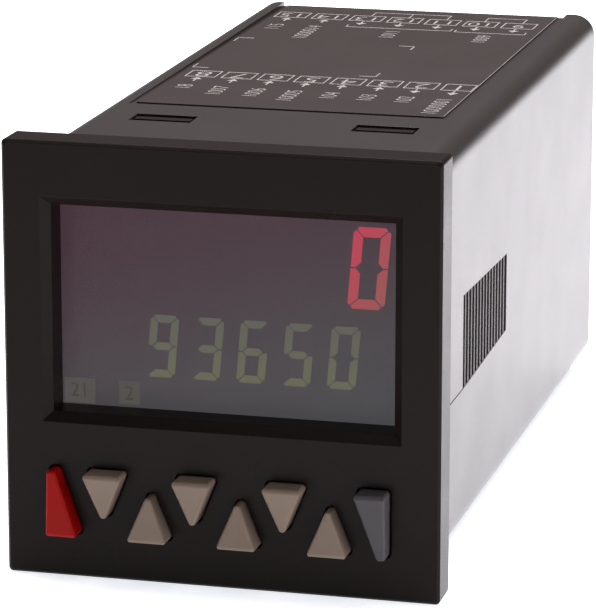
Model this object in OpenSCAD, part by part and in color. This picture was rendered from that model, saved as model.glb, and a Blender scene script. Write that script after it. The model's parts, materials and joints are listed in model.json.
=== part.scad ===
// Panel-mount electronic preset counter, square front, screw terminals at the rear.
// Millimetres. X runs right across the front, Y into the panel, Z up.
// The origin is the middle of the plane where the bezel seats on the panel.

/* [Front bezel] */
// Side of the square bezel
bezel_size = 48; // [46.5:0.5:60]
// Depth of the bezel in front of the panel
bezel_t = 4.5; // [3.5:0.1:7]
// Radius of the bezel's corners
bezel_r = 0.5; // [0.4:0.1:4]
// Bevel round the bezel's front edge
bezel_edge = 0.3; // [0.2:0.05:0.8]
// Thickness of the front wall where the keys pass through
face_wall = 1.8; // [1.2:0.1:2.6]
// Wall of the collar that plugs into the housing
collar_wall = 1; // [0.7:0.1:1.1]

/* [Display] */
// Distance from the side of the housing in to the window opening
window_side = 3.2; // [2.6:0.1:6]
// Distance from the top of the housing down to the window opening
window_head = 5.4; // [4:0.1:6]
// Distance from the key row up to the window opening
window_sill = 6; // [4.6:0.1:7]
// Width of the bevel round the window
window_bevel = 1; // [0.3:0.1:1.5]
// Depth from the bezel's front to the clear window
window_depth = 4.2; // [2:0.1:6]
// Thickness of the clear window
lens_t = 0.8; // [0.5:0.1:2]
// Thickness of the glass display
lcd_t = 1.8; // [1:0.1:3]
// Thickness of the backlight block
backlight_t = 3.5; // [3:0.1:6]
// Height of the small lower digits; the large upper digit takes what the window leaves
preset_digit_h = 6.9; // [5:0.1:8]
// Spacing of the lower digits
digit_pitch = 5; // [4.4:0.1:5.4]
// Slant of the digits in degrees
digit_slant = 5; // [0:1:10]

/* [Keys] */
// Distance from the bottom of the housing up to the key row
key_row_low = 3.4; // [3.3:0.05:5]
// Distance from the side of the housing in to the straight side of an end key
key_row_side = 3.3; // [3.1:0.05:4.5]
// How far the key row sits right of the middle
key_row_x = -0.2; // [-0.2:0.05:0.2]
// Height of the key row from its lowest edge to its highest
key_row_h = 7.25; // [6:0.05:7.6]
// Width of a small key's outline before its corners are rounded
key_w = 4.55; // [4:0.05:5]
// Height of a small key's outline before its corners are rounded
key_h = 5.6; // [4.8:0.1:5.8]
// Width of an end key at its wide end
end_key_w = 3.5; // [3:0.1:4.2]
// Width of an end key at its narrow end
end_key_tip = 0.95; // [0.9:0.05:2.5]
// Distance from an end key's straight side to the middle of its place in the row
end_key_mid = 1.34; // [1:0.02:2]
// Corner radius of the keys
key_r = 0.4; // [0.36:0.01:0.5]
// How far a key stands out of the bezel at its wide end
key_proud = 2.5; // [1.6:0.1:4]
// How far a key stands out of the bezel at its tip
key_tip_proud = 1.95; // [1:0.05:2.5]
// Bevel round the front of a key
key_edge = 0.3; // [0.1:0.05:0.35]
// Travel of a key when it is pressed
key_travel = 0.7; // [0.3:0.05:0.75]
// Gap between a key and its opening
key_gap = 0.25; // [0.2:0.05:0.35]
// How far the collar of a key reaches past its outline
key_flange = 0.45; // [0.4:0.05:0.5]
// Side of a key switch
switch_w = 3; // [2.6:0.1:3.2]
// Height of a key switch on its board
switch_t = 2.8; // [2.4:0.1:3]

/* [Housing] */
// Width of the housing behind the panel
housing_w = 44; // [44:0.1:46]
// Height of the housing behind the panel
housing_h = 44.8; // [44.6:0.1:46]
// Depth of the housing behind the panel
housing_d = 95; // [80:1:130]
// Wall of the housing
housing_wall = 1.5; // [1.2:0.05:1.6]
// Radius of the housing's long edges
housing_r = 2.6; // [1.8:0.1:3.4]
// Depth of the groove in the bezel that takes the housing's front edge
seat_depth = 0.4; // [0.2:0.05:0.5]
// Width of the sunk field on top that takes the label
label_bay_w = 37.2; // [30:0.2:38]
// How far that field sits right of the middle
label_bay_x = -0.2; // [-0.4:0.1:0.4]
// Depth of that field at its front
label_bay_front_d = 0.15; // [0.1:0.05:0.3]
// Depth of that field at the rear
label_bay_d = 0.5; // [0.3:0.05:0.7]
// Distance from the panel to the front of the label field
label_bay_y = 25.3; // [23:0.1:30]
// Thickness of the label
label_t = 0.2; // [0.1:0.05:0.25]
// Width of a latch slot
latch_w = 7; // [5:0.5:8]
// Length of a latch slot along the housing
latch_l = 3.6; // [3.2:0.1:4]
// Distance of the latch slots from the middle of the housing
latch_x = 12.6; // [11:0.1:13.5]
// Distance of the latch slots from the panel
latch_y = 18; // [17:0.1:19]
// Number of vent slots in each side wall
vent_count = 15; // [9:1:18]
// Spacing of the vent slots
vent_pitch = 1.62; // [1.5:0.02:1.8]
// Width of one vent slot
vent_w = 1.05; // [0.6:0.05:1.1]
// Height of the first vent slot
vent_h = 10.5; // [6:0.5:14]
// Height of the last vent slot
vent_rear_h = 9; // [6:0.5:14]
// Distance from the panel to the first vent slot
vent_y = 16.4; // [14:0.1:20]
// Height of the middle of the vent slots
vent_z = -0.5; // [-4:0.5:4]
// Depth of the sunk field that the vent slots open into
vent_sink = 0.05; // [0.05:0.05:0.3]

/* [Electronics] */
// Thickness of the circuit boards
board_t = 1.6; // [1:0.1:1.6]
// Spacing of the upper terminals
upper_pitch = 5; // [4.6:0.02:5.08]
// Spacing of the lower terminals
lower_pitch = 3.81; // [3.5:0.01:4]
// Height of a terminal block
terminal_h = 10.5; // [10:0.1:11]
// How far the terminal blocks stand out of the rear wall
terminal_proud = 1; // [0:0.1:2]
// Length of a relay
relay_l = 20; // [15:0.5:24]
// Width of a relay
relay_w = 10; // [7:0.1:10.5]
// Height of a relay
relay_h = 15.3; // [8:0.1:18]
// Diameter of the supply capacitor
capacitor_d = 10; // [8:0.5:12]

/* [Hidden] */
$fn = 48;
// Fit of pieces that seat on each other, and how far a cut runs past a face
fit = 0.1;
over = 1;

// Front planes, from the face back to the display board
face_y = -bezel_t;
face_back = face_y + face_wall;
lens_y = face_y + window_depth;
lcd_y = lens_y + lens_t;
backlight_y = lcd_y + lcd_t;
display_board_y = backlight_y + backlight_t;
display_board_back = display_board_y + board_t;

// Key row, and the window above it
small_keys = 6;
key_count = small_keys + 2;
key_foot_z = key_row_low - housing_h / 2;
key_top_z = key_foot_z + key_row_h;
key_row_z = (key_foot_z + key_top_z) / 2;
end_key_x = housing_w / 2 - key_row_side;
key_pitch = 2 * (end_key_x - end_key_mid) / (key_count - 1);
window_w = housing_w - 2 * window_side;
window_right = window_w / 2;
window_top = housing_h / 2 - window_head;
window_low = key_top_z + window_sill;
window_h = window_top - window_low;
window_z = (window_top + window_low) / 2;

// Housing cavity, the bezel's collar inside it, and the lip round the window
cavity_r_least = 0.3;
cavity_w = housing_w - 2 * housing_wall;
cavity_h = housing_h - 2 * housing_wall;
cavity_r = max(housing_r - housing_wall, cavity_r_least);
collar_fit = 0.15;
collar_w = cavity_w - 2 * collar_fit;
collar_h = cavity_h - 2 * collar_fit;
collar_in_w = collar_w - 2 * collar_wall;
collar_in_h = collar_h - 2 * collar_wall;
collar_past = 1.6;
collar_end = display_board_back + collar_past;
lens_ledge = 0.45;
lens_w = window_w + 2 * lens_ledge;
lens_h = window_h + 2 * lens_ledge;
lcd_w = min(lens_w, collar_in_w - 2 * fit);
lcd_lip = 0.15;
lcd_h = lens_h + 2 * lcd_lip;
backlight_in = 0.5;
sill_h = 3.6;
sill_z = window_low - sill_h;
seat_gap = 0.05;
housing_front = -seat_depth + seat_gap;

// Latch hooks on the collar's arms
arm_gap = 0.3;
arm_w = latch_w - 2 * arm_gap;
hook_sink = 0.1;
hook_lead = 1.2;
hook_front = latch_y - latch_l / 2 + hook_lead;
hook_flat = 1.4;
hook_tail = 0.2;
hook_back = latch_y + latch_l / 2 - hook_tail;

// Nibs in the collar that hold the display board from behind
nib_gap = 0.05;
nib_t = 0.85;
nib_out = 0.5;
nib_l = 4;

// Place of the label in its field
label_margin = 0.7;
label_margin_right = 1.05;
label_left = label_bay_x - label_bay_w / 2 + label_margin;
label_right = label_bay_x + label_bay_w / 2 - label_margin_right;
label_front = label_bay_y + label_margin;
label_rear = housing_d - label_margin;

// Middle of the last vent slot, and the rim of the vents' field round the slots
vent_rear = vent_y + (vent_count - 1) * vent_pitch;
vent_rim = 0.05;

// Key collars, stems and switches
flange_t = 0.9;
flange_fit = 0.05;
flange_y = face_back + flange_fit;
switch_y = display_board_y - switch_t;
stem_r = 1;
plunger_stop = 0.4;
stem_end = switch_y - key_travel - plunger_stop;
plunger_r = 0.65;
plunger_bore_r = 0.9;
plunger_in = 1;
bore_spare = 0.3;
switch_bore = plunger_in + key_travel + bore_spare;
bay_gap = 0.3;
key_bay_w = 2 * (end_key_x + key_flange + bay_gap);
key_bay_low = key_foot_z - key_flange - bay_gap;

// Main boards and the guide ribs that hold them
board_lift = 3.3;
board_in_z = cavity_h / 2 - board_lift - board_t;
board_gap = 0.2;
board_end_gap = 0.4;
board_w = cavity_w - 2 * board_gap;
board_front = collar_end + board_end_gap;
rear_wall = 1.8;
rear_in = housing_d - rear_wall;
board_rear = rear_in - board_end_gap;
rib_out = 1;
rib_t = 1;
rib_start = 16;
rib_y = board_front + rib_start;

// Headers between the display board and the main boards
header_pins_n = 10;
header_pitch = 2.54;
header_w = header_pins_n * header_pitch;
header_h = 2.6;
header_reach = 2.6;
header_end = board_front + header_reach;
pin_w = 0.6;
pin_t = 0.3;
pin_l = 1.6;

// Terminal blocks
upper_poles = 7;
lower_poles = 8;
block_side = 0.6;
block_d = 13;
block_rear = housing_d + terminal_proud;
block_front = block_rear - block_d;
block_out_z = board_in_z;
block_in_z = board_in_z - terminal_h;
aperture_fit = 0.3;
pole_wall = 0.9;
pole_groove = 0.5;
entry_h = 3.2;
entry_rise = 3;
entry_z = block_in_z + entry_rise;
entry_in = 0.3;
screw_rise = 7.7;
screw_z = block_in_z + screw_rise;
screw_share = 0.32;
shank_share = 0.6;
shank_past = 1;
shank_room = 2;
screw_sink = 1;
screw_head_l = 1.8;
screw_slot_w = 0.6;
screw_slot_d = 0.8;
clamp_depth = 9;
clamp_front = block_rear - clamp_depth;
clamp_plate = 1;
clamp_l = 3.8;
clamp_wall = 0.5;
clamp_foot = 0.8;
clamp_low = block_in_z + clamp_foot;
clamp_top = 9.4;
clamp_high = block_in_z + clamp_top;
chamber_wall = 4.6;
chamber_back = block_rear - chamber_wall;
tail_w = 0.8;
tail_past = 1.2;
tail_out = board_in_z + board_t + tail_past;
tail_hole_r = 0.75;

// Parts on the main boards, placed from the terminal blocks forwards
relay_gap = 3;
relay_y = block_front - relay_gap - relay_l;
relay_x = [-12, -0.5];
capacitor_x = 12.6;
capacitor_l = 16;
can_groove_z = 2.2;
can_groove_r = 0.35;
transformer_back = 26;
transformer_y = board_front + transformer_back;
transformer_h = 13;
core_w = 16;
core_t = 6;
core_h = 11;
core_leg = 4;
core_yoke = 3;
bobbin_l = 14;
bobbin_foot = 2;
coupler_count = 4;
coupler_pitch = 7.6;
coupler_size = [4.6, 6.4, 3.5];
chip_w = 12;
chip_t = 1.4;
chip_back = 34;
chip_y = board_front + chip_back;
chip_leads = 11;
chip_lead_pitch = 0.9;
chip_lead_l = 1;
chip_lead_w = 0.4;
chip_lead_t = 0.3;
crystal_size = [11, 4.6, 3.6];
crystal_x = -13;
regulator_size = [6.6, 6.2, 2.3];
regulator_x = -12;

// Digit shapes: which of the seven segments a to g are lit for each figure drawn
lit = [["0", "abcdef"], ["3", "abcdg"], ["5", "acdfg"], ["6", "acdefg"], ["9", "abcdfg"]];
preset_figures = ["9", "3", "6", "5", "0"];
segment_t = 0.08;
segment_y = lcd_y - segment_t;
digit_head = 1.5;
digit_row_gap = 2.05;
digit_foot = 3.4;
count_digit_h = window_h - digit_head - digit_row_gap - preset_digit_h - digit_foot;
count_digit_in = 3.75;
count_digit_x = window_right - count_digit_in;
count_digit_z = window_top - digit_head - count_digit_h / 2;
preset_digit_in = 6.5;
preset_digit_x = window_right - preset_digit_in;
preset_digit_z = window_low + digit_foot + preset_digit_h / 2;
digit_shape = 0.455;
stroke_share = 0.12;
corner_share = 0.55;
segment_gap = 0.08;
tile_sizes = [[3.4, 2.7], [2.3, 2.5]];
tile_in = [[1.7, 1.3], [7.3, 1.4]];

key_names = ["reset_key", for (i = [1:small_keys]) str("digit_key_", i), "mode_key"];
plunger_names = ["reset_plunger", for (i = [1:small_keys]) str("digit_plunger_", i), "mode_plunger"];

// Outline helpers
function unit(v) = v / norm(v);
function outward(a, b) = let (d = unit(b - a)) [d[1], -d[0]];
function span(middle, width) = [middle - width / 2, middle + width / 2];
// Corner of an anticlockwise outline moved in from both of its edges
function inset_corner(a, b, c, d) =
  let (u = unit(a - b), v = unit(c - b))
  b + unit(u + v) * d / sqrt((1 - u * v) / 2);
function inset(pts, d) =
  let (n = len(pts))
  [for (i = [0:n - 1]) inset_corner(pts[(i + n - 1) % n], pts[i], pts[(i + 1) % n], d)];

// Extrudes a drawing in X and Z along Y
module along_y(y) {
  translate([0, y[1], 0])
    rotate([90, 0, 0])
      linear_extrude(y[1] - y[0])
        children();
}

// Extrudes a drawing in Y and Z along X
module along_x(x) {
  translate([x[0], 0, 0])
    rotate([90, 0, 90])
      linear_extrude(x[1] - x[0])
        children();
}

module box(x, y, z) {
  translate([x[0], y[0], z[0]])
    cube([x[1] - x[0], y[1] - y[0], z[1] - z[0]]);
}

module rounded_rect(w, h, r) {
  square([w - 2 * r, h], center = true);
  square([w, h - 2 * r], center = true);
  for (sx = [-1, 1], sz = [-1, 1])
    translate([sx * (w / 2 - r), sz * (h / 2 - r)])
      circle(r);
}

// Polygon swept by a circle: straight sides, round corners
module rounded_outline(centres, r) {
  n = len(centres);
  polygon([
    for (i = [0:n - 1])
      let (a = centres[i], b = centres[(i + 1) % n], o = outward(a, b))
      each [a + r * o, b + r * o]
  ]);
  for (p = centres)
    translate(p)
      circle(r);
}

// Copies a shape for the upper board to the lower one as well
module both_boards() {
  children();
  mirror([0, 0, 1])
    children();
}

// Key outlines, anticlockwise, the two corners of the wide end first.
// The end keys have one straight side, the keys between them point down and up in turn
function small_key_x(i) = (i - (small_keys + 1) / 2) * key_pitch;
function points_down(i) = i % 2 == 1;
function flipped(pts) = [for (p = pts) [-p[0], 2 * key_row_z - p[1]]];
function in_row(pts) = [for (p = pts) [p[0] + key_row_x, p[1]]];
function end_outline() = [
  [-end_key_x, key_foot_z], [-end_key_x + end_key_w, key_foot_z],
  [-end_key_x + end_key_tip, key_top_z], [-end_key_x, key_top_z]
];
function small_outline(x) = [
  [x - key_w / 2, key_foot_z], [x + key_w / 2, key_foot_z], [x, key_foot_z + key_h]
];
function key_outline(i) = in_row(
  i == 0 ? end_outline()
  : i == key_count - 1 ? flipped(end_outline())
  : points_down(i) ? flipped(small_outline(-small_key_x(i)))
  : small_outline(small_key_x(i))
);
function key_centres(i) = inset(key_outline(i), key_r);
// The stem stands on the middle of the key's rounded corners
function middle(pts) = [for (k = [0, 1]) [for (p = pts) p[k]] * [for (p = pts) 1 / len(pts)]];
function key_stem(i) = middle(key_centres(i));

module key_shape(i, grow = 0) {
  rounded_outline(key_centres(i), key_r + grow);
}

module key_colour(i) {
  color(i == 0 ? "firebrick" : i == key_count - 1 ? "dimgray" : "tan")
    children();
}

module at_stem(i) {
  s = key_stem(i);
  translate([s[0], 0, s[1]])
    children();
}

// Round bar along Y
module bar_y(r, y) {
  translate([0, y[0], 0])
    rotate([-90, 0, 0])
      cylinder(h = y[1] - y[0], r = r);
}

// A key: bevelled cap whose front slopes down to its tip, collar behind the front wall, stem to its switch
module key_cap(i) {
  centres = key_centres(i);
  key_colour(i) {
    hull()
      for (k = [0:len(centres) - 1]) {
        front = face_y - (k < 2 ? key_proud : key_tip_proud);
        translate([centres[k][0], 0, centres[k][1]]) {
          bar_y(key_r, [front + key_edge, flange_y], $fn = 28);
          bar_y(key_r - key_edge, [front, flange_y], $fn = 28);
        }
      }
    along_y([flange_y, flange_y + flange_t])
      key_shape(i, key_flange);
    at_stem(i)
      bar_y(stem_r, [flange_y + flange_t, stem_end]);
  }
}

// The small pin of a key switch, which the key's stem pushes
module key_plunger(i) {
  color("ivory")
    at_stem(i)
      bar_y(plunger_r, [stem_end, switch_y + plunger_in]);
}

module key_switches() {
  color("darkslategray")
    for (i = [0:key_count - 1])
      at_stem(i)
        difference() {
          along_y([switch_y, display_board_y])
            square(switch_w, center = true);
          bar_y(plunger_bore_r, [switch_y - over, switch_y + switch_bore]);
        }
}

// Bevelled funnel of the window
module window_cut() {
  translate([0, 0, window_z]) {
    hull() {
      along_y([face_y - fit, face_y])
        square([window_w + 2 * window_bevel, window_h + 2 * window_bevel], center = true);
      along_y([face_y, face_y + window_bevel])
        square([window_w, window_h], center = true);
    }
    along_y([face_y, lens_y + over])
      square([window_w, window_h], center = true);
    along_y([lens_y, collar_end + over])
      square([lens_w + 2 * fit, lens_h + 2 * fit], center = true);
  }
}

// Hook on an arm: upright in front, sloped behind so that it slides in
module latch_arm() {
  low = collar_h / 2;
  high = housing_h / 2 - hook_sink;
  translate([latch_x - arm_w / 2, 0, 0]) {
    translate([0, collar_end, low - collar_wall])
      cube([arm_w, hook_back - collar_end, collar_wall]);
    rotate([90, 0, 90])
      linear_extrude(arm_w)
        polygon([
          [hook_front, low - fit], [hook_front, high], [hook_front + hook_flat, high], [hook_back, low],
          [hook_back, low - fit]
        ]);
  }
}

module collar_shape() {
  rounded_rect(collar_w, collar_h, cavity_r);
}

module front_bezel() {
  color([0.13, 0.12, 0.12]) {
    difference() {
      union() {
        hull() {
          along_y([face_y + bezel_edge, 0])
            rounded_rect(bezel_size, bezel_size, bezel_r, $fn = 32);
          along_y([face_y, 0])
            rounded_rect(bezel_size - 2 * bezel_edge, bezel_size - 2 * bezel_edge, bezel_r, $fn = 32);
        }
        along_y([-seat_depth, collar_end])
          collar_shape();
      }
      // Groove that takes the housing's front edge
      difference() {
        along_y([-seat_depth, collar_end + over])
          rounded_rect(housing_w + 2 * fit, housing_h + 2 * fit, housing_r + fit);
        along_y([-seat_depth - over, collar_end + over])
          collar_shape();
      }
      // Room behind the front wall: the key bay, then the collar's bore behind the window frame
      box(span(key_row_x, key_bay_w), [face_back, lcd_y], [key_bay_low, sill_z]);
      along_y([lcd_y, collar_end + over])
        square([collar_in_w, collar_in_h], center = true);
      window_cut();
      for (i = [0:key_count - 1])
        along_y([face_y - over, face_back + over])
          key_shape(i, key_gap);
    }
    for (sx = [0, 1], sz = [0, 1])
      mirror([sx, 0, 0])
        mirror([0, 0, sz])
          latch_arm();
    for (sx = [0, 1], z = [-1, 1])
      mirror([sx, 0, 0])
        box([collar_in_w / 2 - nib_out, collar_in_w / 2 + fit],
            [display_board_back + nib_gap, display_board_back + nib_gap + nib_t],
            span(z * collar_in_h / 4, nib_l));
  }
}

module display_window() {
  color([0.2, 0.18, 0.2, 0.5])
    translate([0, 0, window_z])
      along_y([lens_y, segment_y])
        square([lens_w, lens_h], center = true);
}

module lcd_panel() {
  color([0.32, 0.29, 0.31])
    translate([0, 0, window_z])
      along_y([lcd_y, backlight_y])
        square([lcd_w, lcd_h], center = true);
}

// The three kinds of segment, for a figure of half width a and half height b.
// Corners of the figure are cut by c, and mitred joints are held g apart
module bar_segment(a, b, stroke, c, g) {
  polygon([
    for (x = [-1, 1])
      each mirrored(x, [[a - stroke - g, b - stroke], [a - c / 2 - g, b - c / 2], [a - c, b]])
  ]);
}

module post_segment(a, b, stroke, c, g) {
  polygon([
    [a - c / 2, b - c / 2 - g], [a, b - c], [a, g], [a - stroke / 2, g],
    [a - stroke, stroke / 2 + g], [a - stroke, b - stroke - g]
  ]);
}

module middle_segment(a, stroke, g) {
  shoulder = a - stroke - g;
  tip = a - stroke / 2 - g;
  polygon([
    for (x = [-1, 1])
      each mirrored(x, [[shoulder, -stroke / 2], [tip, 0], [shoulder, stroke / 2]])
  ]);
}

// Points of one side, or the same points on the other side in turned order
function mirrored(x, pts) = x > 0 ? pts : [for (i = [len(pts) - 1:-1:0]) [-pts[i][0], pts[i][1]]];

// Seven-segment figure centred on the origin
module figure_shape(figure, h) {
  a = h * digit_shape / 2;
  b = h / 2;
  stroke = h * stroke_share;
  c = stroke * corner_share;
  on = [for (row = lit) if (row[0] == figure) row[1]][0];
  bars = [["a", 0], ["d", 1]];
  posts = [["b", 0, 0], ["c", 0, 1], ["e", 1, 1], ["f", 1, 0]];
  shear = tan(digit_slant);
  multmatrix([[1, shear, 0, 0], [0, 1, 0, 0], [0, 0, 1, 0], [0, 0, 0, 1]]) {
    for (s = bars)
      if (len(search(s[0], on)) > 0)
        mirror([0, s[1]])
          bar_segment(a, b, stroke, c, segment_gap);
    for (s = posts)
      if (len(search(s[0], on)) > 0)
        mirror([s[1], 0])
          mirror([0, s[2]])
            post_segment(a, b, stroke, c, segment_gap);
    if (len(search("g", on)) > 0)
      middle_segment(a, stroke, segment_gap);
  }
}

module count_digit() {
  color("crimson")
    along_y([segment_y, lcd_y])
      translate([count_digit_x, count_digit_z])
        figure_shape("0", count_digit_h);
}

module preset_digits() {
  color("darkkhaki")
    for (i = [0:len(preset_figures) - 1])
      along_y([segment_y, lcd_y])
        translate([preset_digit_x - (len(preset_figures) - 1 - i) * digit_pitch, preset_digit_z])
          figure_shape(preset_figures[i], preset_digit_h);
}

module status_tiles() {
  color("gray")
    for (i = [0:len(tile_sizes) - 1])
      along_y([segment_y, lcd_y])
        translate(tile_in[i] + [-window_right, window_low])
          square(tile_sizes[i], center = true);
}

module backlight() {
  color("whitesmoke")
    translate([0, 0, window_z])
      along_y([backlight_y, display_board_y])
        square([lcd_w - 2 * backlight_in, lcd_h - 2 * backlight_in], center = true);
}

module display_board() {
  color("darkgreen")
    along_y([display_board_y, display_board_back])
      square([collar_in_w - 2 * board_gap, collar_in_h - 2 * board_gap], center = true);
}

module housing_section() {
  difference() {
    rounded_rect(housing_w, housing_h, housing_r);
    rounded_rect(cavity_w, cavity_h, cavity_r);
  }
}

// Pairs of ribs on the side walls that guide the edges of the two boards
module guide_ribs() {
  low = board_in_z - fit - rib_t;
  high = board_in_z + board_t + fit;
  for (sx = [0, 1], z = [low, high])
    mirror([sx, 0, 0])
      box([cavity_w / 2 - rib_out, cavity_w / 2 + fit], [rib_y, rear_in + fit], [z, z + rib_t]);
}

// Height of the vents at a place along the housing; they grow shorter towards the rear
function vent_height(y) = vent_h + (vent_rear_h - vent_h) * (y - vent_y) / (vent_rear - vent_y);

// A stretch of the vents along the housing, as deep as x says
module vent(x, y, grow = 0) {
  front = vent_height(y[0]) / 2 + grow;
  rear = vent_height(y[1]) / 2 + grow;
  translate([0, 0, vent_z])
    along_x(x)
      polygon([
        [y[0] - grow, -front], [y[1] + grow, -rear],
        [y[1] + grow, rear], [y[0] - grow, front]
      ]);
}

// Height of the floor of the label's field, which slopes down to the rear
function label_floor(y) =
  housing_h / 2 - label_bay_front_d
  - (label_bay_d - label_bay_front_d) * (y - label_bay_y) / (housing_d - label_bay_y);

function block_w(poles, pitch) = poles * pitch + 2 * block_side;

module aperture(poles, pitch) {
  box(span(0, block_w(poles, pitch) + 2 * aperture_fit), [rear_in - over, housing_d + over],
      [block_in_z - aperture_fit, block_out_z + aperture_fit]);
}

module housing() {
  color([0.2, 0.19, 0.18])
    difference() {
      union() {
        along_y([housing_front, housing_d])
          housing_section();
        along_y([rear_in, housing_d])
          rounded_rect(housing_w, housing_h, housing_r);
        both_boards()
          guide_ribs();
      }
      // Sunk field for the label, open at the rear
      along_x(span(label_bay_x, label_bay_w))
        polygon([
          [label_bay_y, label_floor(label_bay_y)], [housing_d + over, label_floor(housing_d + over)],
          [housing_d + over, housing_h / 2 + over], [label_bay_y, housing_h / 2 + over]
        ]);
      for (sx = [-1, 1], sz = [0, 1])
        mirror([0, 0, sz])
          box(span(sx * latch_x, latch_w), span(latch_y, latch_l),
              [cavity_h / 2 - over, housing_h / 2 + over]);
      for (sx = [0, 1])
        mirror([sx, 0, 0]) {
          vent([housing_w / 2 - vent_sink, housing_w / 2 + over],
               [vent_y - vent_w / 2, vent_rear + vent_w / 2], vent_rim);
          for (i = [0:vent_count - 1])
            vent([cavity_w / 2 - rib_out / 2, housing_w / 2 + over],
                 span(vent_y + i * vent_pitch, vent_w));
        }
      aperture(upper_poles, upper_pitch);
      mirror([0, 0, 1])
        aperture(lower_poles, lower_pitch);
    }
}

module top_label() {
  color([0.24, 0.22, 0.21])
    along_x([label_left, label_right])
      polygon([
        [label_front, label_floor(label_front)], [label_rear, label_floor(label_rear)],
        [label_rear, label_floor(label_rear) + label_t], [label_front, label_floor(label_front) + label_t]
      ]);
}

function pole_x(i, poles, pitch) = (i - (poles - 1) / 2) * pitch;

// A main board in the upper place, with holes for its terminals' tails
module main_board(poles, pitch) {
  difference() {
    box(span(0, board_w), [board_front, board_rear], [board_in_z, board_in_z + board_t]);
    for (i = [0:poles - 1])
      translate([pole_x(i, poles, pitch), clamp_front + clamp_plate / 2, board_in_z - over])
        cylinder(h = board_t + 2 * over, r = tail_hole_r);
  }
}

module power_board() {
  color("darkgreen")
    main_board(upper_poles, upper_pitch);
}

module logic_board() {
  color("darkgreen")
    mirror([0, 0, 1])
      main_board(lower_poles, lower_pitch);
}

module board_headers() {
  color([0.1, 0.1, 0.1])
    both_boards()
      box(span(0, header_w), [display_board_back, header_end], [board_in_z - header_h, board_in_z]);
}

module header_pins() {
  color("goldenrod")
    both_boards()
      for (i = [0:header_pins_n - 1])
        box(span((i - (header_pins_n - 1) / 2) * header_pitch, pin_w), [header_end, header_end + pin_l],
            [board_in_z - pin_t, board_in_z]);
}

module relay(i) {
  color("navy")
    box(span(relay_x[i], relay_w), [relay_y, relay_y + relay_l],
        [board_in_z - relay_h, board_in_z]);
}

// Round can with a rolled groove near its foot
module supply_capacitor() {
  r = capacitor_d / 2;
  color("midnightblue")
    translate([capacitor_x, relay_y + relay_l / 2, board_in_z])
      mirror([0, 0, 1])
        difference() {
          cylinder(h = capacitor_l, r = r);
          translate([0, 0, can_groove_z])
            rotate_extrude()
              translate([r + can_groove_r / 2, 0])
                circle(can_groove_r);
        }
}

module transformer_place() {
  translate([0, transformer_y, board_in_z - transformer_h])
    children();
}

// Two E-shaped halves: three legs joined above and below
module transformer_core() {
  color("dimgray")
    transformer_place()
      difference() {
        box(span(0, core_w), span(0, core_t), [0, core_h]);
        for (sx = [0, 1])
          mirror([sx, 0, 0])
            box([core_leg / 2, core_w / 2 - core_leg], span(0, core_t + 2 * over),
                [core_yoke, core_h - core_yoke]);
      }
}

// Winding round the middle leg, with feet on the board
module transformer_bobbin() {
  wide = core_w - 2 * core_leg - 2 * fit;
  low = core_yoke + fit;
  high = core_h - core_yoke - fit;
  color("peru")
    transformer_place()
      difference() {
        union() {
          box(span(0, wide), span(0, bobbin_l), [low, high]);
          for (s = [-1, 1])
            box(span(0, wide), span(s * (bobbin_l - bobbin_foot) / 2, bobbin_foot), [low, transformer_h]);
        }
        box(span(0, core_leg + 2 * fit), span(0, core_t + 2 * fit), [low - over, high + over]);
      }
}

module regulator() {
  color([0.12, 0.12, 0.12])
    box(span(regulator_x, regulator_size[0]), span(transformer_y, regulator_size[1]),
        [board_in_z - regulator_size[2], board_in_z]);
}

// Flat square chip with a row of leads on each side
module microcontroller() {
  color([0.15, 0.15, 0.15])
    translate([0, chip_y, -board_in_z]) {
      box(span(0, chip_w), span(0, chip_w), [0, chip_t]);
      for (turn = [0:3], i = [0:chip_leads - 1])
        rotate(90 * turn)
          box([chip_w / 2 - fit, chip_w / 2 + chip_lead_l],
              span((i - (chip_leads - 1) / 2) * chip_lead_pitch, chip_lead_w), [0, chip_lead_t]);
    }
}

module input_couplers() {
  color([0.15, 0.15, 0.15])
    for (i = [0:coupler_count - 1])
      box(span((i - (coupler_count - 1) / 2) * coupler_pitch, coupler_size[0]),
          span(relay_y + relay_l / 2, coupler_size[1]), [-board_in_z, -board_in_z + coupler_size[2]]);
}

module clock_crystal() {
  r = crystal_size[1] / 2;
  color("silver")
    translate([crystal_x, chip_y, -board_in_z])
      linear_extrude(crystal_size[2])
        rotate(90) {
          square([crystal_size[0] - 2 * r, 2 * r], center = true);
          for (s = [-1, 1])
            translate([s * (crystal_size[0] / 2 - r), 0])
              circle(r);
        }
}

function pole_room(pitch) = pitch - pole_wall;
function screw_r(pitch) = screw_share * pitch;
function shank_r(pitch) = shank_share * screw_r(pitch);

// One pole cut from a block: wire entry, clamp chamber, screw bore and slot for the tail
module pole_cut(pitch) {
  room = pole_room(pitch);
  entry_w = room - 2 * entry_in;
  along_y([chamber_back - fit, block_rear + over])
    translate([0, entry_z])
      square([entry_w, entry_h], center = true);
  box(span(0, room), [clamp_front - fit, chamber_back], [clamp_low - fit, clamp_high + fit]);
  translate([0, 0, screw_z]) {
    bar_y(screw_r(pitch) + fit, [chamber_back - fit, block_rear + over]);
    bar_y(shank_r(pitch) + fit, [clamp_front - shank_room, chamber_back]);
  }
  box(span(0, tail_w + 2 * fit), [clamp_front - fit, clamp_front + clamp_plate + fit],
      [clamp_high, block_out_z + over]);
}

// Terminal block in the upper place, with shallow grooves that part the poles
module terminal_block(poles, pitch) {
  difference() {
    box(span(0, block_w(poles, pitch)), [block_front, block_rear], [block_in_z, block_out_z]);
    for (i = [0:poles - 1])
      translate([pole_x(i, poles, pitch), 0, 0])
        pole_cut(pitch);
    for (i = [1:poles - 1])
      box(span(pole_x(i, poles, pitch) - pitch / 2, pole_groove),
          [block_rear - pole_groove, block_rear + over], [block_in_z - over, block_out_z + over]);
  }
}

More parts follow.
